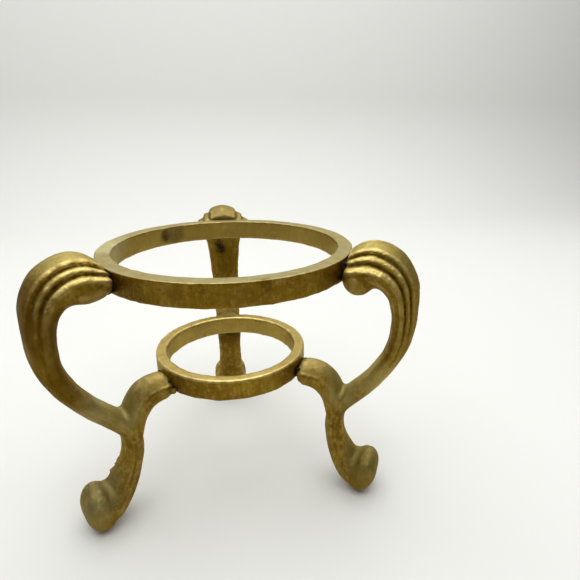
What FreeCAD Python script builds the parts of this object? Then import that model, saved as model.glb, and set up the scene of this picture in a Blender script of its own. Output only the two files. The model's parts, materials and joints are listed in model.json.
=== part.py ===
"""Two-ring brass burner stand on three scrolled legs.

Frame: millimetres, +Z up, origin on the table at the axis of the two rings, +Y towards the rear leg.
The big upper ring carries a vessel, the small lower ring holds a spirit burner under it. Each leg is
one casting: a reeded knee, a slanted limb, a short branch to the lower ring, a stem and an upturned
toe. A film of braze metal fastens every leg to each ring.
"""
import FreeCAD, Part
import Sketcher
import os

from FreeCAD import Placement, Rotation, Vector

DIMENSIONS = {
    # Upper ring
    "upper_outer_radius": 28.9,
    "upper_bore_radius": 25.5,
    "upper_base_height": 54.5,
    # Lower ring
    "lower_outer_radius": 18.5,
    "lower_bore_radius": 15.7,
    "lower_base_height": 28.7,
    # Both rings
    "ring_depth": 5.0,
    "ring_bevel": 0.35,
    # Braze between each leg and each ring
    "upper_braze_gap": 1.1,
    "upper_braze_half_width": 4.0,
    "upper_braze_depth": 4.2,
    "lower_braze_gap": 0.6,
    "lower_braze_half_width": 2.8,
    "lower_braze_depth": 2.6,
    # Toe, an oval roll across the leg that leans outwards, cut flat by the table
    "toe_radius": 34.2,
    "toe_height": 4.4,
    "toe_long_half": 5.4,
    "toe_short_half": 3.5,
    "toe_half_width": 5.4,
    "toe_lean": 40.0,
    "toe_rounding": 2.0,
    # Pods, the bulging ends of the outermost reeds beside the upper ring
    "pod_radius": 32.3,
    "pod_height": 56.6,
    "pod_offset": 5.0,
    "pod_half_length": 3.9,
    "pod_half_width": 3.3,
    "pod_half_depth": 3.2,
    # How far each foot stands out of true, growing from the splay height down to the table
    "splay_height": 27.0,
    "splay_rear": 0.0,
    "splay_left": 2.8,
    "splay_right": 0.0,
}

# Stations along the limb, from the ring end of the knee down to the foot:
# name, radius, height, half thickness, half width, reeding (1 is full, 0 is a plain oval)
LIMB_STATIONS = [
    ("tip", 28.6, 57.0, 2.9, 7.3, 1.0),
    ("brow", 30.6, 57.6, 3.6, 8.0, 1.0),
    ("crown", 34.2, 58.5, 4.8, 8.4, 1.0),
    ("shoulder", 37.5, 57.0, 4.6, 8.0, 1.0),
    ("knee", 39.9, 54.0, 4.0, 6.8, 1.0),
    ("shin", 41.0, 50.0, 2.9, 5.2, 0.9),
    ("calf", 41.2, 45.0, 2.5, 4.6, 0.75),
    ("slope", 40.4, 40.0, 2.3, 4.2, 0.5),
    ("sweep", 38.3, 35.0, 2.1, 4.0, 0.2),
    ("run", 35.0, 30.0, 1.95, 3.8, 0.0),
    ("fork", 31.3, 25.8, 2.0, 3.7, 0.0),
    ("throat", 28.3, 22.0, 2.1, 3.4, 0.0),
    ("stem", 27.2, 17.5, 2.1, 3.3, 0.0),
    ("ankle", 27.8, 12.5, 2.2, 3.3, 0.0),
    ("heel", 29.8, 7.8, 2.8, 3.6, 0.0),
    ("instep", 32.8, 4.4, 3.0, 3.8, 0.0),
]

# Stations along the branch, from the lower ring outwards and down into the stem
BRANCH_STATIONS = [
    ("end", 18.0, 29.4, 2.4, 3.8, 0.0),
    ("arm", 21.5, 29.6, 2.7, 3.8, 0.0),
    ("bend", 24.5, 28.0, 2.7, 3.6, 0.0),
    ("drop", 26.3, 24.8, 2.4, 3.3, 0.0),
    ("root", 27.1, 21.0, 1.8, 2.9, 0.0),
]

# One side of the section, from the dome's edge round to the belly's edge. Each arc is three points:
# share of the half width, then share of the half thickness on the plain oval and on the reeded outline
DOME_EDGE = (0.49, 0.87, 0.66)
REED_VALLEY = (0.74, 0.67, 0.38)
SIDE = (1.0, 0.0, -0.10)
BELLY_EDGE = (0.55, -0.88, -0.93)
SIDE_ARCS = [
    (DOME_EDGE, (0.62, 0.785, 0.68), REED_VALLEY),
    (REED_VALLEY, (0.92, 0.39, 0.34), SIDE),
    (SIDE, (0.85, -0.55, -0.65), BELLY_EDGE),
]
CROWN = (0.0, 1.0, 1.0)
BELLY = (0.0, -1.0, -1.0)

SPLAY_POWER = 1.5
LEG_ANGLES = {"rear": 90.0, "left": 210.0, "right": 330.0}


def make_sheet(doc):
    """Put every driving dimension in the spreadsheet under its own alias."""
    sheet = doc.addObject("Spreadsheet::Sheet", "Dimensions")
    cells = dict(DIMENSIONS)
    for member, stations in (("limb", LIMB_STATIONS), ("branch", BRANCH_STATIONS)):
        for name, radius, height, half_thickness, half_width, reeding in stations:
            cells[f"{member}_{name}_radius"] = radius
            cells[f"{member}_{name}_height"] = height
            cells[f"{member}_{name}_half_thickness"] = half_thickness
            cells[f"{member}_{name}_half_width"] = half_width
            cells[f"{member}_{name}_reeding"] = reeding
    for row, (alias, value) in enumerate(cells.items(), start=1):
        sheet.set(f"A{row}", alias)
        sheet.set(f"B{row}", str(value))
        sheet.setAlias(f"B{row}", alias)
    doc.recompute()
    return sheet


def origin_plane(body, role):
    """The body's own origin plane with the given role."""
    return next(plane for plane in body.Origin.OriginFeatures if plane.Role == role)


def revolved_section(doc, name, inner, outer, base, depth, angle):
    """A body that turns a rectangle in the XZ plane about Z; every size is a sheet expression."""
    body = doc.addObject("PartDesign::Body", name)
    sketch = body.newObject("Sketcher::SketchObject", f"{name}_section")
    sketch.AttachmentSupport = [(origin_plane(body, "XZ_Plane"), "")]
    sketch.MapMode = "FlatFace"
    corners = [Vector(10, 1, 0), Vector(12, 1, 0), Vector(12, 3, 0), Vector(10, 3, 0)]
    for start, end in zip(corners, corners[1:] + corners[:1]):
        sketch.addGeometry(Part.LineSegment(start, end), False)
    for line in range(4):
        sketch.addConstraint(Sketcher.Constraint("Coincident", line, 2, (line + 1) % 4, 1))
    for line, direction in enumerate(("Horizontal", "Vertical", "Horizontal", "Vertical")):
        sketch.addConstraint(Sketcher.Constraint(direction, line))
    sizes = {
        "inner": ("DistanceX", -1, 1, 0, 1, inner),
        "outer": ("DistanceX", -1, 1, 0, 2, outer),
        "base": ("DistanceY", -1, 1, 0, 1, base),
        "top": ("DistanceY", -1, 1, 2, 1, f"{base} + {depth}"),
    }
    for label, (kind, from_item, from_end, to_item, to_end, size) in sizes.items():
        constraint = Sketcher.Constraint(kind, from_item, from_end, to_item, to_end, 10.0)
        index = sketch.addConstraint(constraint)
        sketch.renameConstraint(index, label)
        sketch.setExpression(f"Constraints.{label}", size)
    doc.recompute()
    revolution = body.newObject("PartDesign::Revolution", f"{name}_turn")
    revolution.Profile = sketch
    revolution.ReferenceAxis = (sketch, ["V_Axis"])
    revolution.Midplane = True
    revolution.setExpression("Angle", angle)
    doc.recompute()
    return body


def make_ring(doc, name, size):
    """A flat ring with a small bevel on its four rims."""
    sheet = "Dimensions"
    body = revolved_section(doc, name, f"{sheet}.{size}_bore_radius", f"{sheet}.{size}_outer_radius",
                            f"{sheet}.{size}_base_height", f"{sheet}.ring_depth", "360")
    turn = body.Tip
    bevel = body.newObject("PartDesign::Chamfer", f"{name}_bevel")
    rims = [f"Edge{index}" for index, edge in enumerate(turn.Shape.Edges, start=1)
            if isinstance(edge.Curve, Part.Circle)]
    bevel.Base = (turn, rims)
    bevel.setExpression("Size", f"{sheet}.ring_bevel")
    doc.recompute()
    return body


def make_braze(doc, name, size, angle):
    """A sector of braze metal that fills the gap between a ring's wall and a leg's end."""
    wall = f"Dimensions.{size}_outer_radius"
    depth = f"Dimensions.{size}_braze_depth"
    base = f"Dimensions.{size}_base_height + (Dimensions.ring_depth - {depth}) / 2"
    body = revolved_section(doc, name, wall, f"{wall} + Dimensions.{size}_braze_gap", base, depth,
                            f"2 * asin(Dimensions.{size}_braze_half_width / {wall})")
    body.Placement = Placement(Vector(), Rotation(Vector(0, 0, 1), angle))
    return body


def splay(sheet, side, height):
    """How far this leg stands outwards of true at one height."""
    top = sheet.get("splay_height")
    return sheet.get(f"splay_{side}") * max(0.0, 1.0 - height / top) ** SPLAY_POWER


def read_stations(sheet, side, member, stations):
    """The stations of one member of one leg as (centre, half thickness, half width, reeding)."""
    rows = []
    for name, *_ in stations:
        prefix = f"{member}_{name}_"
        height = sheet.get(prefix + "height")
        centre = Vector(sheet.get(prefix + "radius") + splay(sheet, side, height), 0, height)
        rows.append((centre, sheet.get(prefix + "half_thickness"), sheet.get(prefix + "half_width"),
                     sheet.get(prefix + "reeding")))
    return rows


def section_wire(centre, outward, half_thickness, half_width, reeding):
    """One closed section: a crowned inner face, round sides and five reeds on the outer face.

    Without reeding the points lie on an oval; full reeding sinks the valleys between the reeds.
    """
    def point(shares, hand):
        across, plain, reeded = shares
        height = plain + (reeded - plain) * reeding
        return centre + Vector(0, hand * across * half_width, 0) + outward * (height * half_thickness)

    def arc(shares, hands):
        return Part.Arc(*[point(share, hand) for share, hand in zip(shares, hands)]).toShape()

    right_side = [arc(shares, (1, 1, 1)) for shares in SIDE_ARCS]
    left_side = [arc(shares[::-1], (-1, -1, -1)) for shares in SIDE_ARCS[::-1]]
    dome = arc((DOME_EDGE, CROWN, DOME_EDGE), (-1, 1, 1))
    belly = arc((BELLY_EDGE, BELLY, BELLY_EDGE), (1, 1, -1))
    return Part.Wire([dome] + right_side + [belly] + left_side)


def loft_member(stations):
    """A solid lofted square to the line through the stations, its outer face on the left of travel."""
    wires = []
    centres = [station[0] for station in stations]
    for index, (centre, half_thickness, half_width, reeding) in enumerate(stations):
        before = centres[max(index - 1, 0)]
        after = centres[min(index + 1, len(centres) - 1)]
        travel = (after - before).normalize()
        outward = Vector(-travel.z, 0, travel.x)
        wires.append(section_wire(centre, outward, half_thickness, half_width, reeding))
    return Part.makeLoft(wires, True, False)


def make_toe(sheet, side):
    """The upturned toe: an oval roll lying across the leg, leaning outwards, its two ends rounded."""
    half_width = sheet.get("toe_half_width")
    outline = Part.Ellipse(Vector(0, 0, -half_width), sheet.get("toe_long_half"), sheet.get("toe_short_half"))
    roll = Part.Face(Part.Wire(outline.toShape())).extrude(Vector(0, 0, 2 * half_width))
    rims = [edge for edge in roll.Edges if isinstance(edge.Curve, Part.Ellipse)]
    rounded = roll.makeFillet(sheet.get("toe_rounding"), rims).Solids[0]
    across = Rotation(Vector(1, 0, 0), 90)
    lean = Rotation(Vector(0, 1, 0), sheet.get("toe_lean") - 90)
    height = sheet.get("toe_height")
    radius = sheet.get("toe_radius") + splay(sheet, side, height)
    rounded.Placement = Placement(Vector(radius, 0, height), lean * across)
    return rounded


def make_pod(sheet, hand):
    """The bulging end of one outermost reed: an egg beside the limb's first stations."""
    stretch = FreeCAD.Matrix()
    stretch.scale(sheet.get("pod_half_length"), sheet.get("pod_half_width"), sheet.get("pod_half_depth"))
    stretch.move(sheet.get("pod_radius"), hand * sheet.get("pod_offset"), sheet.get("pod_height"))
    return Part.makeSphere(1.0).transformGeometry(stretch)


def leg_casting(sheet, side):
    """One leg along +X: limb, branch, toe and pods in one piece, trimmed by the table and both rings."""
    limb = loft_member(read_stations(sheet, side, "limb", LIMB_STATIONS))
    branch = loft_member(read_stations(sheet, side, "branch", BRANCH_STATIONS))
    casting = limb.fuse([branch, make_toe(sheet, side), make_pod(sheet, 1), make_pod(sheet, -1)])
    reach = 2 * sheet.get("upper_outer_radius")
    upper_end = sheet.get("upper_outer_radius") + sheet.get("upper_braze_gap")
    lower_end = sheet.get("lower_outer_radius") + sheet.get("lower_braze_gap")
    upper_base = sheet.get("upper_base_height") - sheet.get("ring_depth")
    under_table = Part.makeBox(2 * reach, 2 * reach, reach, Vector(-reach, -reach, -reach))
    upper_trim = Part.makeCylinder(upper_end, reach, Vector(0, 0, upper_base))
    lower_trim = Part.makeCylinder(lower_end, reach)
    return casting.cut([under_table, upper_trim, lower_trim])


def make_leg(doc, sheet, side, angle):
    """One leg, turned to its place about the axis of the rings."""
    leg = doc.addObject("Part::Feature", f"leg_{side}")
    leg.Shape = leg_casting(sheet, side)
    leg.Placement = Placement(Vector(), Rotation(Vector(0, 0, 1), angle))
    return leg


def build(doc):
    """Every sub-part of the stand, in the order it would be brazed up."""
    sheet = make_sheet(doc)
    parts = [make_ring(doc, "upper_ring", "upper"), make_ring(doc, "lower_ring", "lower")]
    for side, angle in LEG_ANGLES.items():
        parts.append(make_leg(doc, sheet, side, angle))
        parts.append(make_braze(doc, f"upper_braze_{side}", "upper", angle))
        parts.append(make_braze(doc, f"lower_braze_{side}", "lower", angle))
    for part in parts:
        part.Label = part.Name
    doc.recompute()
    return parts


def check(doc, parts):
    """Stop before anything is written if an object failed or a shape is unusable."""
    for item in doc.Objects:
        if "Invalid" in item.State or "Error" in item.State:
            raise RuntimeError(f"{item.Name} failed: {item.State}")
    for part in parts:
        if part.Shape.isNull() or not part.Shape.isValid():
            raise RuntimeError(f"{part.Label} has no valid shape")
        if len(part.Shape.Solids) != 1:
            raise RuntimeError(f"{part.Label} has {len(part.Shape.Solids)} solids")


def main():
    doc = FreeCAD.newDocument("BurnerStand")
    parts = build(doc)
    check(doc, parts)
    os.makedirs("parts", exist_ok=True)
    for part in parts:
        part.Shape.exportStep(f"parts/{part.Label}.step")
        box = part.Shape.BoundBox
        print(f"{part.Label}: {part.Shape.Volume:.1f} mm3, "
              f"X {box.XMin:.2f}..{box.XMax:.2f}, Y {box.YMin:.2f}..{box.YMax:.2f}, "
              f"Z {box.ZMin:.2f}..{box.ZMax:.2f}")


main()
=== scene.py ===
"""Looks of the two-ring brass burner stand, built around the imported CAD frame.

Every CAD node is replaced by a detailed mesh of the same size: lathed rings with worn bevels, cast legs
made by lofting, voxel remeshing and weathering, and lumpy braze. Shapes are worked out in millimetres in
the row frame and written to the meshes in metres.
"""
import json
import math

import bmesh
import bpy
import numpy as np
from mathutils import Euler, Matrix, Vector, noise


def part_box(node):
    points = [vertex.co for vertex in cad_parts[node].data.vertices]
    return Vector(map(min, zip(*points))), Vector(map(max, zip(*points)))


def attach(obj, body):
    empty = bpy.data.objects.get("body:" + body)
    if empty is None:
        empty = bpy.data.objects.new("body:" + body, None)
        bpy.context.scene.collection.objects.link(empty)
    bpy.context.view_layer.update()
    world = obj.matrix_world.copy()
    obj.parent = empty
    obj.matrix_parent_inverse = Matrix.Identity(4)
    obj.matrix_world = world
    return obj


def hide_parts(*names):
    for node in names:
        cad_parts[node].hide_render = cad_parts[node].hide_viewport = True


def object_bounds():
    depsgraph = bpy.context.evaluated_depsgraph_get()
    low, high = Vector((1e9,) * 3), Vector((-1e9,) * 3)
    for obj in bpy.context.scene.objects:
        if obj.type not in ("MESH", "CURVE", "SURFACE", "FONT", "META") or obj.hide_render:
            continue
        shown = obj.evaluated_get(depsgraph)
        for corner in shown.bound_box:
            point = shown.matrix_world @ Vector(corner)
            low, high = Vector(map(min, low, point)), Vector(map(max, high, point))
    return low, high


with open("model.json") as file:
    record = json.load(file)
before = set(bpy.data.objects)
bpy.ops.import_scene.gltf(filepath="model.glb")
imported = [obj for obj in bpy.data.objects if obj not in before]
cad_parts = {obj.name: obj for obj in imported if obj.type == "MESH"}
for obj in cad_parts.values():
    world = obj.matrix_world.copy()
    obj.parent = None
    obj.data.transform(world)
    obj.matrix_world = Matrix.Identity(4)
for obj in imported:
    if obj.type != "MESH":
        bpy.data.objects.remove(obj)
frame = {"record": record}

CAD_LOW, CAD_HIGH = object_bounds()
MM = 0.001

# ---------------------------------------------------------------- the legs' dimensions, in mm

# Legs: direction from the rings' axis in degrees, and what is particular to each casting. Splay moves the
# foot outwards and lean the limb; sink lowers the outer reeds; cut is the depth of the reeding at the knee
# and shin the share of it left below; under is how much thicker the knee is on the inside of its bend;
# rounds is how long the skin is smoothed
LEGS = {
    "rear": {"angle": 90.0, "splay": 0.0, "lean": 0.0, "seed": 11, "pod": "egg",
             "sink": 0.42, "cut": 0.9, "shin": 0.25, "under": 0.0, "rounds": 16},
    "left": {"angle": 210.0, "splay": 2.8, "lean": 0.35, "seed": 23, "pod": "oval",
             "sink": 0.08, "cut": 0.85, "shin": 0.25, "under": 0.0, "rounds": 3},
    "right": {"angle": 330.0, "splay": 0.0, "lean": 0.2, "seed": 37, "pod": "ball",
              "sink": 0.45, "cut": 1.0, "shin": 0.9, "under": 0.25, "rounds": 2},
}
# The foot splays below the first height. The limb leans most at the second, and less with distance from it
SPLAY_HEIGHT = 27.0
LEAN_HEIGHT, LEAN_REACH = 43.0, 8.0

# Stations along the limb from the ring end of the knee down to the foot:
# radius, height, half thickness, half width, reeding (1 is full, 0 is a plain strap), belly (share of the
# half thickness below the centreline)
LIMB = [
    (30.0, 57.6, 2.9, 7.4, 1.0, 0.80),
    (31.2, 57.9, 3.7, 8.0, 1.0, 0.78),
    (34.2, 58.4, 4.6, 8.2, 1.0, 0.72),
    (37.5, 57.2, 4.45, 7.9, 1.0, 0.72),
    (40.0, 54.3, 3.75, 6.8, 1.0, 0.78),
    (41.1, 50.0, 2.95, 5.4, 0.95, 0.92),
    (41.2, 45.0, 2.6, 4.8, 0.8, 1.0),
    (40.4, 40.0, 2.35, 4.4, 0.6, 1.0),
    (38.3, 35.0, 2.15, 4.1, 0.35, 1.0),
    (35.0, 30.0, 2.0, 3.9, 0.1, 1.0),
    (31.3, 25.8, 2.05, 3.7, 0.0, 1.0),
    (28.3, 22.0, 2.15, 3.5, 0.0, 1.0),
    (27.2, 17.5, 2.15, 3.35, 0.0, 1.0),
    (27.9, 12.5, 2.35, 3.6, 0.0, 1.0),
    (29.9, 8.0, 2.9, 4.2, 0.0, 1.0),
    (32.4, 4.9, 3.2, 4.9, 0.0, 1.0),
    (34.8, 3.3, 2.7, 4.6, 0.0, 1.0),
]
# Stations along the branch, from the lower ring outwards and down into the stem; here the fifth number
# is how crisp the upper edge is
BRANCH = [
    (18.8, 29.5, 1.9, 4.0, 1.0, 1.0),
    (19.7, 29.75, 2.6, 4.05, 1.0, 1.0),
    (21.5, 29.7, 2.85, 3.95, 1.0, 1.0),
    (23.4, 29.1, 2.95, 3.8, 0.8, 1.0),
    (25.1, 27.6, 2.85, 3.7, 0.4, 1.0),
    (26.5, 25.2, 2.6, 3.6, 0.1, 1.0),
    (27.2, 21.5, 2.15, 3.4, 0.0, 1.0),
    (27.3, 17.0, 1.5, 2.9, 0.0, 1.0),
]
# Where each member meets a ring: the radius it is hollowed to, and how soon the hollowing fades outwards
LIMB_WRAP = (30.0, 4.0)
BRANCH_WRAP = (19.0, 2.5)
# Heights between which the reeding deepens from the shin's to the knee's, and the knee's inside thickens
SHIN_FADE = (50.0, 57.0)
UNDER_FADE = (44.0, 54.0)

# Half outlines of the sections, from the crown (0, 1) round one side to the belly (0, -1), as shares of
# the half width and the half thickness. The reeded one steps down in terraces with crisp lips.
REEDED = [(0, 1), (.20, .975), (.34, .925), (.435, .86), (.462, .705), (.50, .665), (.57, .69),
          (.655, .645), (.683, .47), (.73, .425), (.83, .44), (.92, .35), (.93, .13), (.925, -.20),
          (.85, -.68), (0, -1)]
STRAP = [(0, 1), (.2, .995), (.38, .97), (.54, .91), (.68, .80), (.80, .66), (.89, .51), (.94, .38),
         (.925, .27), (.97, .16), (1, 0), (.99, -.18), (.94, -.40), (.80, -.66), (.48, -.91), (0, -1)]
ARCHED = [(0, 1), (.2, .965), (.4, .865), (.57, .72), (.72, .55), (.85, .38), (.95, .22), (.935, .08),
          (.965, -.03), (.985, -.15), (.99, -.3), (.985, -.45), (.96, -.62), (.89, -.79), (.6, -.95),
          (0, -1)]
BAR = [(0, 1), (.25, .99), (.45, .95), (.62, .88), (.76, .77), (.87, .62), (.94, .46), (.975, .30),
       (.99, .12), (1, -.08), (.99, -.26), (.97, -.44), (.93, -.61), (.84, -.78), (.55, -.95), (0, -1)]
# Sinking grows with a reed's share of the half width, to this power, and fades out down the section's side
SINK_POWER = 1.3
SINK_SIDE = (-0.2, 0.35)

# Rolls across the leg: centre (radius, height), half length, half thickness, half width, lean in degrees and
# squareness of the ends. A pod is the swollen end of the outermost reeds, which shows on both sides.
TOE = ((35.0, 4.9), 5.05, 3.3, 5.3, 17.0, 3.2)
PODS = {
    "ball": ((32.0, 55.6), 3.5, 3.4, 7.95, 90.0, 5.0),
    "oval": ((33.2, 57.0), 4.9, 2.8, 7.85, 93.0, 5.0),
    "egg": ((32.8, 56.6), 4.2, 2.9, 7.85, 92.0, 5.0),
}

# Inside corners that are cast round, as discs in the leg's own plane: centre (radius, height), the radius
# that is filled in full and the radius where the filling ends
FORK = (28.6, 25.0, 3.0, 5.0)
BENEATH_FORK = (26.5, 19.5, 3.0, 5.0)
TOE_BEND = (32.5, 6.5, 4.0, 6.0)
UNDER_KNEE = (34.0, 53.0, 3.0, 4.2)
KNEE_FLANK = (32.5, 56.0, 5.5, 7.0)
# Heights where the filling under the knee and on its flanks ends, and how far out the flanks start
UNDER_KNEE_TOP = (56.0, 57.0)
FLANK_TOP = (57.6, 58.6)
FLANK_SIDE = (6.2, 6.9)
EASE_PASSES, EASE_ROUNDS = 3, 90

# Unevenness of the castings: size of the features, then how far they stand out or cut in
FILED = (5.0, 0.10)
RAGGED_GROOVE = (1.6, 0.13)
PITS = (0.9, 0.14)
RAGGED_LIP = (1.3, 0.09)
# Depth below the surroundings where a groove starts and is full, height above them likewise for a lip, the
# noise where a pit starts and is full, and the share of the pits' depth outside the grooves
GROOVE_DEPTH = (0.01, 0.08)
LIP_HEIGHT = (0.03, 0.10)
PIT_NOISE = (0.25, 0.5)
PITS_OUTSIDE = 0.1
# The fin of casting flash: its leg, its place across and up the stem, its reach each way, how far out the
# stem's outer side starts, the size of its teeth and its height
FLASH_LEG = "left"
FLASH_PLACE = (-2.2, 10.8)
FLASH_REACH = (0.5, 2.6)
FLASH_SIDE = (28.2, 29.2)
FLASH_TEETH, FLASH_HEIGHT = 0.9, 0.55

# ---------------------------------------------------------------- rings and braze, in mm

# Rings: the mount that gives the bore, the bevels (outer top, inner top, inner base, outer base), how far
# the ring sits off the axis, and its seed
RINGS = {
    "upper_ring": {"bore": "upper_bore", "bevels": (0.25, 0.30, 0.35, 0.35),
                   "shift": (0.0, 0.0), "seed": 3},
    "lower_ring": {"bore": "lower_bore", "bevels": (0.50, 0.55, 0.35, 0.35),
                   "shift": (-0.3, 0.0), "seed": 4},
}
# Unevenness of the rings: size of the features, then how far they stand out or cut in. The whole skin is
# drawn in by as much as the waves stand out, and worn edges by the loss
RING_WAVES = (9.0, 0.05)
RING_WEAR = (2.2, 0.10)
RING_DENTS = (3.0, 0.10)
RING_WEAR_LOSS = 0.03
# Height above the surroundings where an edge starts to wear and is worn in full, and the noise where a dent
# starts and is full
RING_EDGE_HEIGHT = (0.03, 0.12)
DENT_NOISE = (0.55, 0.8)

# Braze runs: width of the gap they fill, half their width along the ring, and how far they stay above the
# ring's base and below its top. Each overlaps the ring's wall. Lumps are given as the castings' features are
BRAZE = {
    "upper": {"gap": 1.45, "half_width": 4.6, "above_base": 0.5, "below_top": 0.7},
    "lower": {"gap": 1.0, "half_width": 2.9, "above_base": 0.5, "below_top": 2.4},
}
BRAZE_OVERLAP = 0.25
BRAZE_LUMPS = (1.1, 0.22)
BRAZE_ROUNDS = 4
# Drops of filler below the lower ring, in the leg's own frame: centre and half axes, all tilted alike
BRAZE_DROPS = {"left": [((18.7, 3.4, 28.9), (0.8, 1.0, 0.6)), ((18.9, 4.5, 29.4), (1.0, 0.8, 0.5))]}
DROP_TILT = 20

# Fineness of the meshes
LEG_VOXEL, BRAZE_VOXEL = 0.2, 0.16
RING_STEP_ALONG, RING_STEP_AROUND = 0.25, 0.3
# Rounds of relaxing that tell a point's surroundings from its own detail, when relief is stored
LEG_RELIEF, RING_RELIEF, BRAZE_RELIEF = 22, 6, 14

# ---------------------------------------------------------------- finishes

# Metal, as linear colours. Tarnish lies on gold in layers: noise size in mm, its detail, roughness and
# distortion, the noise values where the layer starts and is full, its share where full, and its colour
GOLD = (0.36, 0.23, 0.022)
TARNISH = [
    (6.0, 4.0, 0.55, 0.0, 0.35, 0.65, 1.0, (0.27, 0.155, 0.010)),
    (14.0, 4.0, 0.55, 0.6, 0.42, 0.68, 0.75, (0.155, 0.080, 0.005)),
    (1.5, 6.0, 0.65, 0.0, 0.45, 0.65, 0.55, (0.50, 0.36, 0.09)),
    (0.8, 4.0, 0.65, 0.0, 0.54, 0.64, 0.65, (0.10, 0.05, 0.004)),
]
STREAK_BROWN = (0.17, 0.095, 0.007)
# Painted shade on faces that don't look up
SIDE_PAINTED_SHADE = (0.115, 0.061, 0.003)
# Painted light on the rings' inner walls
INNER_WALL_PAINTED_LIGHT = (0.50, 0.38, 0.10)
HOLLOW_BROWN = (0.085, 0.048, 0.003)
DEEP_BLACK = (0.015, 0.008, 0.002)
# Bright worn metal, also a painted highlight on edges
WORN_AND_HIGHLIGHT_BRIGHT = (0.66, 0.52, 0.20)
BRASS_EDGE_TINT = (0.98, 0.90, 0.68, 1)
# Heights in mm between which the painted shade on the sides grows, the dust film and painted sheen changes
# colour and the share of wear and painted highlight changes
SIDE_SHADE_HEIGHTS = (15.0, 48.0)
DUST_SHEEN_HEIGHTS = (34.0, 50.0)
WEAR_AND_HIGHLIGHT_HEIGHTS = (42.0, 52.0)

# What differs between the two finishes: colours of the pale dust film and painted sheen low down and high up
# and its share, share of the painted light on the inner wall, relief where edges start to wear and are bare,
# share of that wear and painted highlight low down and high up, relief where hollows darken, and the
# roughness's range
RING_FINISH = {
    "dust_sheen_low": (0.52, 0.41, 0.15), "dust_sheen_high": (0.37, 0.338, 0.18), "dust_sheen_cover": 0.85, "painted_inner_light": 0.55,
    "crest": (0.03, 0.10), "worn": (1.0, 0.0), "groove": (0.04, 0.12), "roughness": (0.36, 0.50),
}
LEG_FINISH = {
    "dust_sheen_low": (0.28, 0.24, 0.09), "dust_sheen_high": (0.36, 0.32, 0.12), "dust_sheen_cover": 0.7, "painted_inner_light": 0.0,
    "crest": (0.02, 0.09), "worn": (0.6, 1.0), "groove": (0.02, 0.10), "roughness": (0.52, 0.66),
}

# Stains: centre in the row frame and radius, in mm, and colour
RING_STAINS = [
    ((-15.8, 20.1, 57.2), 2.4, (0.06, 0.04, 0.01)),
    ((-13.4, 21.8, 57.2), 3.6, (0.17, 0.11, 0.03)),
    ((5.5, -28.4, 58.4), 2.0, (0.12, 0.066, 0.007)),
    ((-10.5, -26.8, 57.0), 1.8, (0.15, 0.085, 0.009)),
    ((-24.5, -15.0, 56.5), 4.0, (0.18, 0.17, 0.10)),
    ((-27.5, 2.0, 66.0), 13.0, (0.58, 0.54, 0.32)),
]
LEG_STAINS = [
    ((-1.5, 38.2, 49.8), 2.2, (0.012, 0.012, 0.008)),
    ((-0.9, 38.2, 48.0), 2.2, (0.012, 0.012, 0.008)),
    ((25.1, -14.5, 26.5), 6.5, (0.31, 0.26, 0.09)),
    ((-25.1, -14.5, 26.5), 6.5, (0.31, 0.26, 0.09)),
    ((31.5, -19.0, 9.0), 9.0, (0.18, 0.135, 0.035)),
    ((-33.5, -20.0, 9.0), 9.0, (0.19, 0.155, 0.06)),
    ((36.0, -18.0, 60.0), 9.0, (0.22, 0.17, 0.04)),
    ((33.5, -18.0, 31.5), 9.0, (0.40, 0.32, 0.10)),
    ((-33.5, -18.5, 30.0), 9.0, (0.42, 0.37, 0.17)),
    ((-38.0, -20.5, 52.0), 13.0, (0.09, 0.042, 0.001)),
    ((-35.0, -21.0, 38.0), 12.0, (0.13, 0.07, 0.004)),
    ((0.0, 26.0, 27.0), 9.0, (0.08, 0.04, 0.003)),
    ((0.0, 34.0, 63.5), 9.0, (0.20, 0.15, 0.05)),
    ((0.0, 33.0, 61.0), 14.0, (0.24, 0.18, 0.06)),
]

FILLER_BLACK = (0.014, 0.009, 0.005)
FILLER_BROWN = (0.06, 0.038, 0.014)
FILLER_BARE = (0.36, 0.24, 0.09)
FILLER_BRASSY = (0.24, 0.16, 0.02)
# Where the filler is brassy, round the drops below the lower ring
BRASSY_PLACE, BRASSY_RADIUS = (-14.0, -13.4, 28.9), 2.0

# ---------------------------------------------------------------- studio, in metres and degrees

SHEET_COLOUR = (0.68, 0.685, 0.66, 1)
LAMP_PLACE, LAMP_TARGET = (0.0, 0.06, 0.50), (0, 0.03, 0.0)
LAMP_SIZE, LAMP_POWER = (0.8, 0.7), 4.6
AMBIENT_COLOUR, AMBIENT_STRENGTH = (1.0, 0.99, 0.96, 1), 0.32
CAMERA_PLACE = (-0.0032, -0.1004, 0.0839)
CAMERA_PITCH, CAMERA_HEADING = 19.98, 10.17
CAMERA_LENS, CAMERA_SENSOR = 27.06, 36.0


# ---------------------------------------------------------------- shape helpers

def through(rows, steps):
    """Catmull-Rom curve through the rows, with so many points to each span."""
    rows = np.asarray(rows, float)
    padded = np.vstack([2 * rows[0] - rows[1], rows, 2 * rows[-1] - rows[-2]])
    t = np.linspace(0, 1, steps, endpoint=False)[:, None]
    spans = []
    for a, b, c, d in zip(padded, padded[1:], padded[2:], padded[3:]):
        linear, square, cube = c - a, 2 * a - 5 * b + 4 * c - d, 3 * b - 3 * c + d - a
        spans.append(0.5 * (2 * b + linear * t + square * t ** 2 + cube * t ** 3))
    return np.vstack(spans + [rows[-1:]])


def smoothstep(x, low, high):
    """0 below low, 1 above high, and a smooth rise between."""
    share = np.clip((x - low) / (high - low), 0, 1)
    return share * share * (3 - 2 * share)


def closed_outline(half):
    """The whole outline from its half, mirrored, with a finer step."""
    half = through(half, 3)
    mirrored = half[-2:0:-1] * (-1, 1)
    return np.vstack([half, mirrored])


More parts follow.
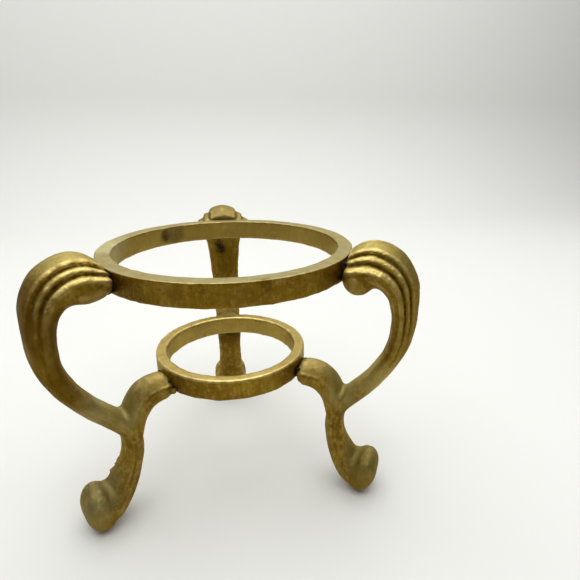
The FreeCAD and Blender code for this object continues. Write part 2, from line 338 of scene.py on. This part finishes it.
def tube_mesh(sections):
    """Vertices and faces of a closed tube through equal rings of points, with flat ends."""
    count, around = len(sections), len(sections[0])
    verts = np.vstack(sections)
    faces = []
    for i in range(count - 1):
        for j in range(around):
            k = (j + 1) % around
            faces.append((i * around + j, i * around + k, (i + 1) * around + k, (i + 1) * around + j))
    faces.append(tuple(range(around - 1, -1, -1)))
    faces.append(tuple(range((count - 1) * around, count * around)))
    return verts, faces


def member(stations, outline_at, wrap_radius, wrap_fade):
    """A loft in the leg's own frame (outwards, across, up). Near the ring it wraps round the ring's wall."""
    rows = through(stations, 8)
    travel = np.gradient(rows[:, :2], axis=0)
    travel /= np.linalg.norm(travel, axis=1)[:, None]
    sections = []
    for (radius, height, thick, wide, shape, belly), (run, rise) in zip(rows, travel):
        outline = outline_at(shape)
        across = outline[:, 0] * wide
        out = outline[:, 1] * thick * np.where(outline[:, 1] < 0, belly, 1)
        x = radius - out * rise
        z = height + out * run
        hug = 1 - smoothstep(x, wrap_radius, wrap_radius + wrap_fade)
        sagitta = wrap_radius - np.sqrt(np.maximum(wrap_radius ** 2 - across ** 2, 0))
        sections.append(np.column_stack([x - hug * sagitta, across, z]))
    return tube_mesh(sections)


def ellipsoid(centre, half_axes, tilt):
    """Vertices and faces of an ellipsoid in the leg's frame, tilted about the across axis."""
    bm = bmesh.new()
    bmesh.ops.create_uvsphere(bm, u_segments=48, v_segments=24, radius=1)
    turn = Euler((0, math.radians(tilt), 0)).to_matrix()
    for v in bm.verts:
        v.co = turn @ Vector(a * b for a, b in zip(v.co, half_axes)) + Vector(centre)
    verts = np.array([v.co for v in bm.verts])
    faces = [tuple(v.index for v in f.verts) for f in bm.faces]
    bm.free()
    return verts, faces


def roll(centre, long_half, short_half, half_width, lean, squareness):
    """An oval roll across the leg whose two ends are rounded over, flatter with more squareness."""
    around, slices, nearly_full = 48, 41, 0.995
    sections = []
    turns = np.linspace(0, 2 * math.pi, around, endpoint=False)
    angle = math.radians(lean)
    for side in np.sin(np.linspace(-nearly_full, nearly_full, slices) * math.pi / 2):
        scale = (1 - abs(side) ** squareness) ** 0.5
        along, aside = long_half * np.cos(turns) * scale, short_half * np.sin(turns) * scale
        x = centre[0] + along * math.sin(angle) + aside * math.cos(angle)
        z = centre[1] + along * math.cos(angle) - aside * math.sin(angle)
        sections.append(np.column_stack([x, np.full(around, side * half_width), z]))
    return tube_mesh(sections)


# ---------------------------------------------------------------- mesh helpers

def new_object(name, verts, faces):
    """An object in the scene, with that mesh."""
    mesh = bpy.data.meshes.new(name)
    mesh.from_pydata(np.asarray(verts).tolist(), [], faces)
    mesh.update()
    piece = bpy.data.objects.new(name, mesh)
    bpy.context.scene.collection.objects.link(piece)
    return piece


def union_by_voxels(name, solids, voxel):
    """One skin round several overlapping closed meshes."""
    verts, faces, start = [], [], 0
    for solid_verts, solid_faces in solids:
        verts.append(solid_verts)
        faces += [tuple(i + start for i in face) for face in solid_faces]
        start += len(solid_verts)
    piece = new_object(name, np.vstack(verts), faces)
    remesh = piece.modifiers.new("Skin", "REMESH")
    remesh.mode = "VOXEL"
    remesh.voxel_size = voxel
    skin = bpy.data.meshes.new_from_object(piece.evaluated_get(bpy.context.evaluated_depsgraph_get()))
    piece.modifiers.clear()
    piece.data = skin
    return piece


def read_points(mesh, what="co"):
    """The mesh's points, or with "normal" their normals, as rows."""
    values = np.zeros(len(mesh.vertices) * 3)
    mesh.vertices.foreach_get(what, values)
    return values.reshape(-1, 3)


def write_points(mesh, points):
    """Moves the mesh's points to those rows."""
    mesh.vertices.foreach_set("co", np.asarray(points, float).ravel())
    mesh.update()


def edge_pairs(mesh):
    """The two points of each edge, as rows."""
    pairs = np.zeros(len(mesh.edges) * 2, int)
    mesh.edges.foreach_get("vertices", pairs)
    return pairs.reshape(-1, 2)


def relax(points, pairs, share):
    """Each point moved towards the mean of its neighbours."""
    a, b = pairs.T
    count = len(points)
    degree = np.maximum(np.bincount(a, minlength=count) + np.bincount(b, minlength=count), 1)
    mean = np.column_stack([
        np.bincount(a, points[b, i], count) + np.bincount(b, points[a, i], count) for i in range(3)
    ]) / degree[:, None]
    return points + (mean - points) * share


def smooth(points, pairs, rounds):
    """Taubin smoothing, which takes the voxel steps off without shrinking the shape."""
    for _ in range(rounds):
        points = relax(points, pairs, 0.5)
        points = relax(points, pairs, -0.52)
    return points


def ease_creases(points, normals, pairs, share, rounds):
    """Fills sharp inside corners, as a casting's fillets do, where share is above 0."""
    for _ in range(rounds):
        moved = relax(points, pairs, 0.6)
        filling = ((moved - points) * normals).sum(1) > 0
        eased = points + (moved - points) * share[:, None]
        points = np.where((filling * share > 0)[:, None], eased, points)
    return points


def store_relief(mesh, rounds):
    """Attribute "relief": how far each point lies below (+) or above (-) its surroundings, in mm."""
    points, pairs = read_points(mesh), edge_pairs(mesh)
    level = points
    for _ in range(rounds):
        level = relax(level, pairs, 0.9)
    depth = ((level - points) * read_points(mesh, "normal")).sum(1)
    attribute = mesh.attributes.new("relief", "FLOAT", "POINT")
    attribute.data.foreach_set("value", depth.astype(np.float32))
    return depth


def grain(points, size, seed, octaves=3):
    """Fractal noise at each point, about -1 to 1, with features of that size."""
    shift = Vector((seed * 7.1, seed * 3.7, seed * 5.3))
    scaled = points / size
    return np.array([noise.fractal(Vector(p) + shift, 0.6, 2.1, octaves) for p in scaled])


def finish_piece(piece, node, material):
    """Millimetres to metres, smooth shading, finish, and the piece's place in the frame."""
    write_points(piece.data, read_points(piece.data) * MM)
    piece.data.shade_smooth()
    piece.data.materials.clear()
    piece.data.materials.append(material)
    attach(piece, "root")
    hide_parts(node)


# ---------------------------------------------------------------- legs

def blended_outline(reeding, sink):
    """The limb's section between strap and reeded, with its outer reeds lowered by sink."""
    half = np.array(REEDED)
    half[:, 1] -= sink * half[:, 0] ** SINK_POWER * smoothstep(half[:, 1], *SINK_SIDE)
    return closed_outline(half * reeding + np.array(STRAP) * (1 - reeding))


def branch_outline(crisp):
    """The branch's section between a rounded bar and an arch with crisp edges."""
    return closed_outline(np.array(ARCHED) * crisp + np.array(BAR) * (1 - crisp))


def leg_skin(name, leg):
    """One skin round the leg's limb, branch, toe and pods, in the leg's own frame."""
    limb = []
    for radius, height, thick, wide, reeding, belly in LIMB:
        left_over = leg["shin"] + (1 - leg["shin"]) * smoothstep(height, *SHIN_FADE)
        belly *= 1 + leg["under"] * smoothstep(height, *UNDER_FADE)
        limb.append((radius, height, thick, wide, reeding * left_over * leg["cut"], belly))
    solids = [
        member(limb, lambda reeding: blended_outline(reeding, leg["sink"]), *LIMB_WRAP),
        member(BRANCH, branch_outline, *BRANCH_WRAP),
        roll(*TOE),
        roll(*PODS[leg["pod"]]),
    ]
    return union_by_voxels(name, solids, LEG_VOXEL)


def stand_on_angle(points, leg):
    """From the leg's own frame to the row frame, with the foot's splay and the limb's lean."""
    out, across, up = points.T
    drop = np.clip((SPLAY_HEIGHT - up) / SPLAY_HEIGHT, 0, 1.2)
    out = out + leg["splay"] * drop ** 1.5
    out = out + leg["lean"] * np.exp(-((up - LEAN_HEIGHT) / LEAN_REACH) ** 2)
    angle = math.radians(leg["angle"])
    x = out * math.cos(angle) - across * math.sin(angle)
    y = out * math.sin(angle) + across * math.cos(angle)
    return np.column_stack([x, y, up])


def casting_flash(points, seed):
    """Height of the thin ragged fin left on the mould line, low on the outer side of the stem."""
    out, across, up = points.T
    aside = (across - FLASH_PLACE[0]) / FLASH_REACH[0]
    along = (up - FLASH_PLACE[1]) / FLASH_REACH[1]
    place = np.exp(-aside ** 2) * np.exp(-along ** 2) * smoothstep(out, *FLASH_SIDE)
    return np.maximum(grain(points, FLASH_TEETH, seed, 2) + 0.35, 0) * place * FLASH_HEIGHT


def weather_leg(mesh, leg, has_flash):
    """Hand-filed unevenness, ragged grooves, pits, ragged lips and, on one leg, a little casting flash."""
    normals = read_points(mesh, "normal")
    points = read_points(mesh)
    depth = store_relief(mesh, LEG_RELIEF)
    seed = leg["seed"]
    hollow = smoothstep(depth, *GROOVE_DEPTH)
    lip = smoothstep(-depth, *LIP_HEIGHT)
    push = grain(points, FILED[0], seed, 2) * FILED[1]
    push += grain(points, RAGGED_GROOVE[0], seed + 1, 3) * hollow * RAGGED_GROOVE[1]
    pitted = smoothstep(grain(points, PITS[0], seed + 4, 1), *PIT_NOISE)
    push -= pitted * (PITS_OUTSIDE + (1 - PITS_OUTSIDE) * hollow) * PITS[1]
    push += grain(points, RAGGED_LIP[0], seed + 2, 3) * lip * RAGGED_LIP[1]
    if has_flash:
        push += casting_flash(points, seed + 3)
    write_points(mesh, points + normals * push[:, None])


def crease_fill(points):
    """Where inside corners are cast round, 0 to 1: at and beneath the fork, at the toe, under the knee's
    pods and along their outlines on its flanks."""
    out, across, up = points.T

    def within(disc):
        centre_out, centre_up, full, ends = disc
        return 1 - smoothstep(np.hypot(out - centre_out, up - centre_up), full, ends)

    under_knee = within(UNDER_KNEE) * (1 - smoothstep(up, *UNDER_KNEE_TOP))
    flank = within(KNEE_FLANK) * smoothstep(abs(across), *FLANK_SIDE) * (1 - smoothstep(up, *FLANK_TOP))
    return np.maximum.reduce([within(FORK), within(BENEATH_FORK), within(TOE_BEND), under_knee, flank])


def make_leg(side, leg, material):
    """A cast leg: one skin, smoothed, eased at its creases, weathered and kept inside the CAD's box."""
    piece = leg_skin(f"cast_leg_{side}", leg)
    mesh = piece.data
    pairs = edge_pairs(mesh)
    write_points(mesh, smooth(read_points(mesh), pairs, leg["rounds"]))
    for _ in range(EASE_PASSES):
        points, normals = read_points(mesh), read_points(mesh, "normal")
        write_points(mesh, ease_creases(points, normals, pairs, crease_fill(points), EASE_ROUNDS))
    weather_leg(mesh, leg, side == FLASH_LEG)
    points = stand_on_angle(read_points(mesh), leg)
    write_points(mesh, np.clip(points, np.array(CAD_LOW) / MM, np.array(CAD_HIGH) / MM))
    finish_piece(piece, f"leg_{side}", material)


# ---------------------------------------------------------------- rings

def bore_radius(mount_name):
    """Radius in mm that the record gives for a bore."""
    mount = next(m for m in frame["record"]["mounts"] if m["name"] == mount_name)
    return mount["dims"]["r_mm"]


def ring_profile(inner, outer, base, top, bevels, step):
    """The ring's section as points a step apart. Bevels are outer top, inner top, inner base, outer base."""
    corners = [((outer, top), (0, -1), (-1, 0)), ((inner, top), (1, 0), (0, -1)),
               ((inner, base), (0, 1), (1, 0)), ((outer, base), (-1, 0), (0, 1))]
    path = []
    for (corner, before, after), bevel in zip(corners, bevels):
        corner, before, after = np.array(corner), np.array(before), np.array(after)
        for turn in np.linspace(0, math.pi / 2, 4):
            ease = (1 - math.sin(turn)) * before + (1 - math.cos(turn)) * after
            path.append(corner + bevel * ease)
    points = []
    for a, b in zip(path, path[1:] + path[:1]):
        count = max(1, round(float(np.linalg.norm(b - a)) / step))
        points += [a + (b - a) * k / count for k in range(count)]
    return np.array(points)


def lathed(profile, around, shift):
    """Vertices and faces of the profile turned about the upright axis, with its centre moved by shift."""
    along = len(profile)
    turns = np.linspace(0, 2 * math.pi, around, endpoint=False)
    radius, height = profile[:, 0][None, :], profile[:, 1][None, :]
    x = radius * np.cos(turns)[:, None] + shift[0]
    y = radius * np.sin(turns)[:, None] + shift[1]
    z = np.broadcast_to(height, x.shape)
    verts = np.stack([x, y, z], -1).reshape(-1, 3)
    faces = []
    for i in range(around):
        for j in range(along):
            i2, j2 = (i + 1) % around, (j + 1) % along
            faces.append((i * along + j, i2 * along + j, i2 * along + j2, i * along + j2))
    return verts, faces


def weather_ring(mesh, seed):
    """Slight waves, worn edges and a few dents."""
    depth = store_relief(mesh, RING_RELIEF)
    points, normals = read_points(mesh), read_points(mesh, "normal")
    wave = grain(points, RING_WAVES[0], seed, 2) * RING_WAVES[1]
    edge = smoothstep(-depth, *RING_EDGE_HEIGHT)
    worn = edge * (grain(points, RING_WEAR[0], seed + 1, 3) * RING_WEAR[1] - RING_WEAR_LOSS)
    dents = -smoothstep(grain(points, RING_DENTS[0], seed + 2, 1), *DENT_NOISE) * RING_DENTS[1]
    write_points(mesh, points + normals * (wave + worn + dents - RING_WAVES[1])[:, None])


def make_ring(node, ring, material):
    """A turned ring with the CAD node's outside and height and the record's bore."""
    low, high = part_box(node)
    outer, base, top = high.x / MM, low.z / MM, high.z / MM
    inner = bore_radius(ring["bore"])
    profile = ring_profile(inner, outer, base, top, ring["bevels"], RING_STEP_ALONG)
    around = round(2 * math.pi * outer / RING_STEP_AROUND)
    piece = new_object(f"turned_{node}", *lathed(profile, around, ring["shift"]))
    weather_ring(piece.data, ring["seed"])
    finish_piece(piece, node, material)


# ---------------------------------------------------------------- braze

def braze_block(inner, outer, half_width, low, high):
    """A curved block between a ring's wall and a leg's end, in the leg's frame."""
    half_angle = half_width / inner
    sections = []
    for turn in np.linspace(-half_angle, half_angle, 15):
        ring = [(inner, low), (outer, low), (outer, high), (inner, high)]
        sections.append(np.array([(r * math.cos(turn), r * math.sin(turn), z) for r, z in ring]))
    return tube_mesh(sections)


def make_braze(level, side, leg, drops, material):
    """A lumpy run of filler between a ring and a leg. It stays at the ring, without splay or lean."""
    node = f"{level}_braze_{side}"
    size = BRAZE[level]
    ring_low, ring_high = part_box(f"{level}_ring")
    inner = ring_high.x / MM - BRAZE_OVERLAP
    low = ring_low.z / MM + size["above_base"]
    high = ring_high.z / MM - size["below_top"]
    solids = [braze_block(inner, inner + size["gap"], size["half_width"], low, high)]
    solids += [ellipsoid(centre, half_axes, DROP_TILT) for centre, half_axes in drops]
    piece = union_by_voxels(f"run_{node}", solids, BRAZE_VOXEL)
    mesh = piece.data
    points = smooth(read_points(mesh), edge_pairs(mesh), BRAZE_ROUNDS)
    write_points(mesh, points)
    lumps = grain(points, BRAZE_LUMPS[0], leg["seed"] + 5, 3) * BRAZE_LUMPS[1]
    write_points(mesh, points + read_points(mesh, "normal") * lumps[:, None])
    store_relief(mesh, BRAZE_RELIEF)
    write_points(mesh, stand_on_angle(read_points(mesh), {**leg, "splay": 0.0, "lean": 0.0}))
    finish_piece(piece, node, material)


# ---------------------------------------------------------------- materials

class Tree:
    """Short calls for building a material's node tree. Places are in mm in the row frame."""

    def __init__(self, name):
        self.material = bpy.data.materials.new(name)
        self.material.use_nodes = True
        self.nodes = self.material.node_tree.nodes
        self.links = self.material.node_tree.links
        self.shader = self.nodes["Principled BSDF"]
        self.place = self.stretched(self.add("TexCoord").outputs["Object"], (1 / MM,) * 3)
        self.height = self.parts(self.place)["Z"]
        normal = self.add("NewGeometry").outputs["Normal"]
        self.facing_up = self.parts(normal)["Z"]
        outwards = self.vector("NORMALIZE", self.place).outputs["Vector"]
        self.facing_out = self.vector("DOT_PRODUCT", outwards, normal).outputs["Value"]
        self.relief = self.add("Attribute", attribute_name="relief").outputs["Fac"]

    def add(self, kind, **settings):
        """A new shader node of that kind, with those settings."""
        node = self.nodes.new("ShaderNode" + kind)
        for setting, value in settings.items():
            setattr(node, setting, value)
        return node

    def fill(self, socket, value):
        """Links or sets a socket."""
        if isinstance(value, bpy.types.NodeSocket):
            self.links.new(value, socket)
        else:
            socket.default_value = value

    def parts(self, vector):
        """The vector's X, Y and Z sockets."""
        node = self.add("SeparateXYZ")
        self.links.new(vector, node.inputs[0])
        return node.outputs

    def joined(self, **parts):
        """A vector from its X, Y or Z sockets; those not given are 0."""
        node = self.add("CombineXYZ")
        for axis, value in parts.items():
            self.links.new(value, node.inputs[axis])
        return node.outputs[0]

    def stretched(self, vector, scale):
        """The vector with each axis scaled."""
        node = self.add("Mapping")
        node.inputs["Scale"].default_value = scale
        self.links.new(vector, node.inputs["Vector"])
        return node.outputs["Vector"]

    def vector(self, operation, *values):
        """A vector maths node on those values."""
        node = self.add("VectorMath", operation=operation)
        for socket, value in zip(node.inputs, values):
            self.fill(socket, value)
        return node

    def math(self, operation, a, b):
        """The result of a maths node on two values."""
        node = self.add("Math", operation=operation)
        self.fill(node.inputs[0], a)
        self.fill(node.inputs[1], b)
        return node.outputs[0]

    def cloud(self, size, detail=4.0, rough=0.55, distort=0.0, at=None):
        """Noise from 0 to 1 with features of that size in mm."""
        node = self.add("TexNoise")
        node.inputs["Scale"].default_value = 1 / size
        node.inputs["Detail"].default_value = detail
        node.inputs["Roughness"].default_value = rough
        node.inputs["Distortion"].default_value = distort
        self.links.new(at or self.place, node.inputs["Vector"])
        return node.outputs["Fac"]

    def ramp(self, value, low, high, from_value=0.0, to_value=1.0):
        """Maps low..high to from_value..to_value, smoothly, and holds the ends."""
        node = self.add("MapRange", interpolation_type="SMOOTHSTEP")
        limits = {"From Min": low, "From Max": high, "To Min": from_value, "To Max": to_value}
        for name, number in limits.items():
            node.inputs[name].default_value = number
        self.links.new(value, node.inputs["Value"])
        return node.outputs["Result"]

    def mix(self, share, a, b):
        """Colour a where share is 0, colour b where it is 1."""
        node = self.add("Mix", data_type="RGBA")
        self.fill(node.inputs["Factor"], share)
        for socket, colour in ((node.inputs[6], a), (node.inputs[7], b)):
            self.fill(socket, (*colour, 1) if isinstance(colour, tuple) else colour)
        return node.outputs[2]

    def near(self, centre, radius):
        """1 round a point of the row frame, falling to 0 at that distance."""
        distance = self.vector("DISTANCE", self.place, centre).outputs["Value"]
        return self.ramp(distance, radius * 0.35, radius, 1.0, 0.0)

    def bump(self, height, strength, distance, under=None):
        """A normal bumped by the height, over the one under it."""
        node = self.add("Bump")
        node.inputs["Strength"].default_value = strength
        node.inputs["Distance"].default_value = distance * MM
        self.links.new(height, node.inputs["Height"])
        if under:
            self.links.new(under, node.inputs["Normal"])
        return node.outputs["Normal"]

    def surface(self, colour, roughness, normal, metallic):
        """Puts the worked-out looks on the shader, and gives the finished material."""
        for name, value in (("Base Color", colour), ("Roughness", roughness), ("Normal", normal)):
            self.links.new(value, self.shader.inputs[name])
        self.shader.inputs["Metallic"].default_value = metallic
        return self.material


def filed_streaks(tree):
    """Scratches from filing and polishing, mostly up and down."""
    return tree.cloud(0.5, 4.0, 0.6, at=tree.stretched(tree.place, (1.0, 1.0, 0.14)))


def turned_streaks(tree):
    """Fine rings left by turning on the flat faces, and drawn lines up and down on the walls."""
    place = tree.parts(tree.place)
    radius = tree.vector("LENGTH", tree.joined(X=place["X"], Y=place["Y"])).outputs["Value"]
    wander = tree.math("MULTIPLY", tree.cloud(20.0, 1.0), 2.0)
    rings = tree.cloud(1 / 3, 5.0, 0.5, at=tree.joined(X=radius, Z=wander))
    flat = tree.ramp(tree.facing_up, 0.4, 0.8)
    on_top = tree.math("MULTIPLY", rings, flat)
    on_wall = tree.math("MULTIPLY", filed_streaks(tree), tree.math("SUBTRACT", 1.0, flat))
    return tree.math("ADD", on_top, on_wall)


def tarnish_and_side_shade(tree, streaks):
    """Gold metal under uneven brown: broad patches, mottling, spots and tool streaks. Faces that don't look
    up get painted shade, most of all high up."""
    colour = GOLD
    for size, detail, rough, distort, low, high, full, layer in TARNISH:
        share = tree.ramp(tree.cloud(size, detail, rough, distort), low, high, 0.0, full)
        colour = tree.mix(share, colour, layer)
    streaked = tree.mix(tree.ramp(streaks(tree), 0.42, 0.62, 0.0, 0.5), colour, STREAK_BROWN)
    # Painted shade: faces that don't look up are darkened, most of all high up
    painted_side_shade = tree.ramp(tree.facing_up, -0.1, 0.6, 0.5, 0.0)
    side_shade_by_height = tree.ramp(tree.height, *SIDE_SHADE_HEIGHTS, 0.3, 1.0)
    return tree.mix(tree.math("MULTIPLY", painted_side_shade, side_shade_by_height), streaked, SIDE_PAINTED_SHADE)


def dust_film_and_sheen(tree, colour, finish):
    """The pale dust film and painted sheen that lie on faces looking up, one colour low down and one high
    up.
    """
    # Partly dust, partly painted sheen: faces looking up are made paler, as under light from above
    pale = tree.mix(tree.ramp(tree.height, *DUST_SHEEN_HEIGHTS), finish["dust_sheen_low"], finish["dust_sheen_high"])
    upwards = tree.ramp(tree.facing_up, 0.3, 1.0, 0.0, finish["dust_sheen_cover"])
    uneven = tree.ramp(tree.cloud(3.0, 5.0), 0.25, 0.6, 0.55, 1.0)
    return tree.mix(tree.math("MULTIPLY", upwards, uneven), colour, pale)


def in_hollows(tree, colour, groove):
    """Brown in the hollows and black in the deepest. Also gives the share of brown."""
    start, full = groove
    uneven = tree.ramp(tree.cloud(1.1), 0.2, 0.6, 0.6, 1.0)
    hollow = tree.math("MULTIPLY", tree.ramp(tree.relief, start, full), uneven)
    tanned = tree.mix(hollow, colour, HOLLOW_BROWN)
    patchy = tree.ramp(tree.cloud(0.9), 0.4, 0.6)
    deep = tree.math("MULTIPLY", tree.ramp(tree.relief, full * 1.5, full * 3), patchy)
    return tree.mix(deep, tanned, DEEP_BLACK), hollow


def worn_and_highlit_edges(tree, colour, finish):
    """Bright worn metal and a painted highlight on raised edges, most where they look up. Also gives its
    share.
    """
    convex = tree.ramp(tree.math("MULTIPLY", tree.relief, -1.0), *finish["crest"])
    upwards = tree.ramp(tree.facing_up, 0.0, 0.6, 0.25, 0.9)
    uneven = tree.ramp(tree.cloud(1.6, 5.0), 0.35, 0.6, 0.3, 1.0)
    rubbed_and_highlit = tree.math("MULTIPLY", upwards, uneven)
    by_height = tree.ramp(tree.height, *WEAR_AND_HIGHLIGHT_HEIGHTS, *finish["worn"])
    # Partly real wear, partly painted highlight: raised edges are made bright, by height as the finish gives
    raised_wear_and_highlight = tree.math("MULTIPLY", tree.math("MULTIPLY", convex, rubbed_and_highlit), by_height)
    return tree.mix(raised_wear_and_highlight, colour, WORN_AND_HIGHLIGHT_BRIGHT), raised_wear_and_highlight


def stained(tree, colour, stains):
    """Ragged stains, one after the other."""
    for centre, radius, stain in stains:
        ragged = tree.ramp(tree.cloud(radius * 0.4, 5.0), 0.25, 0.6, 0.35, 1.0)
        colour = tree.mix(tree.math("MULTIPLY", tree.near(centre, radius), ragged), colour, stain)
    return colour


def aged_brass_and_painted_light(name, streaks, finish, stains):
    """Tarnished satin brass: dark in hollows, bright on worn edges with a painted highlight, stained in
    places, with painted shade on faces that don't look up, a painted sheen with the dust on faces that look
    up and painted light on the rings' inner walls.
    """
    tree = Tree(name)
    aged_and_painted_light = dust_film_and_sheen(tree, tarnish_and_side_shade(tree, streaks), finish)
    # Painted light: the rings' inner walls are made paler, as if lit
    if finish["painted_inner_light"]:
        painted_inner_light_share = tree.ramp(tree.facing_out, -0.6, -0.1, finish["painted_inner_light"], 0.0)
        aged_and_painted_light = tree.mix(painted_inner_light_share, aged_and_painted_light, INNER_WALL_PAINTED_LIGHT)
    dark, hollow = in_hollows(tree, aged_and_painted_light, finish["groove"])
    worn, raised_wear_and_highlight = worn_and_highlit_edges(tree, dark, finish)
    colour = stained(tree, worn, stains)
    satin = tree.ramp(tree.cloud(2.5, 6.0), 0.25, 0.75, *finish["roughness"])
    duller = tree.math("ADD", satin, tree.math("MULTIPLY", hollow, 0.25))
    roughness = tree.math("SUBTRACT", duller, tree.math("MULTIPLY", raised_wear_and_highlight, 0.08))
    coarse = tree.bump(tree.cloud(0.7, 5.0, 0.7), 0.8, 0.16)
    fine = tree.bump(streaks(tree), 0.5, 0.04, coarse)
    tree.shader.inputs["Specular Tint"].default_value = BRASS_EDGE_TINT
    return tree.surface(colour, roughness, fine, 1.0)


def braze_metal():
    """Dark, oxidised filler with brown stains, a few bare spots and one brassy place."""
    tree = Tree("braze_metal")
    dark = tree.mix(tree.ramp(tree.cloud(1.0), 0.4, 0.7), FILLER_BLACK, FILLER_BROWN)
    bare = tree.mix(tree.ramp(tree.cloud(1.6), 0.64, 0.76), dark, FILLER_BARE)
    brassy = tree.mix(tree.near(BRASSY_PLACE, BRASSY_RADIUS), bare, FILLER_BRASSY)
    roughness = tree.ramp(tree.cloud(0.8), 0.2, 0.8, 0.45, 0.8)
    return tree.surface(brassy, roughness, tree.bump(tree.cloud(0.5, 4.0), 0.6, 0.1), 0.8)


# ---------------------------------------------------------------- stage

def make_stage():
    """A pale sheet that lies flat under the stand and curves up behind it."""
    depth, width, rise, bend = 1.2, 1.6, 1.0, 0.12
    back = 0.42
    profile = [(-depth, 0.0), (back - bend, 0.0)]
    for turn in np.linspace(0, math.pi / 2, 13)[1:]:
        profile.append((back - bend + bend * math.sin(turn), bend - bend * math.cos(turn)))
    profile.append((back, rise))
    verts = [(side * width, y, z) for y, z in profile for side in (-1, 1)]
    faces = [(2 * i, 2 * i + 1, 2 * i + 3, 2 * i + 2) for i in range(len(profile) - 1)]
    sheet = new_object("studio_sheet", verts, faces)
    sheet.data.shade_smooth()
    material = bpy.data.materials.new("studio_sheet")
    material.use_nodes = True
    shader = material.node_tree.nodes["Principled BSDF"]
    shader.inputs["Base Color"].default_value = SHEET_COLOUR
    shader.inputs["Roughness"].default_value = 0.7
    shader.inputs["Specular IOR Level"].default_value = 0.2
    sheet.data.materials.append(material)


def make_light():
    """One broad soft lamp overhead, and even light from all round."""
    lamp = bpy.data.lights.new("overhead", "AREA")
    lamp.shape = "RECTANGLE"
    lamp.size, lamp.size_y = LAMP_SIZE
    lamp.energy = LAMP_POWER
    holder = bpy.data.objects.new("overhead", lamp)
    holder.location = LAMP_PLACE
    aim = Vector(LAMP_TARGET) - Vector(LAMP_PLACE)
    holder.rotation_euler = aim.to_track_quat("-Z", "Y").to_euler()
    bpy.context.scene.collection.objects.link(holder)
    world = bpy.data.worlds.new("studio")
    world.use_nodes = True
    background = world.node_tree.nodes["Background"]
    background.inputs["Color"].default_value = AMBIENT_COLOUR
    background.inputs["Strength"].default_value = AMBIENT_STRENGTH
    bpy.context.scene.world = world
    bpy.context.scene.view_settings.view_transform = "Standard"


def make_camera():
    """A phone camera close to the stand, looking down on it and turned a little towards +X."""
    data = bpy.data.cameras.new("camera")
    data.sensor_width = CAMERA_SENSOR
    data.lens = CAMERA_LENS
    data.clip_start = 0.005
    data.clip_end = 20
    camera = bpy.data.objects.new("camera", data)
    camera.location = CAMERA_PLACE
    camera.rotation_euler = (math.radians(90 - CAMERA_PITCH), 0, math.radians(-CAMERA_HEADING))
    bpy.context.scene.collection.objects.link(camera)
    bpy.context.scene.camera = camera


# ---------------------------------------------------------------- assembly

def make_stand():
    """The rings, the legs and the braze that joins them."""
    ring_brass = aged_brass_and_painted_light("ring_brass", turned_streaks, RING_FINISH, RING_STAINS)
    leg_brass = aged_brass_and_painted_light("leg_brass", filed_streaks, LEG_FINISH, LEG_STAINS)
    filler = braze_metal()
    for node, ring in RINGS.items():
        make_ring(node, ring, ring_brass)
    for side, leg in LEGS.items():
        make_leg(side, leg, leg_brass)
        make_braze("upper", side, leg, [], filler)
        make_braze("lower", side, leg, BRAZE_DROPS.get(side, []), filler)


make_stand()
make_stage()
make_light()
make_camera()
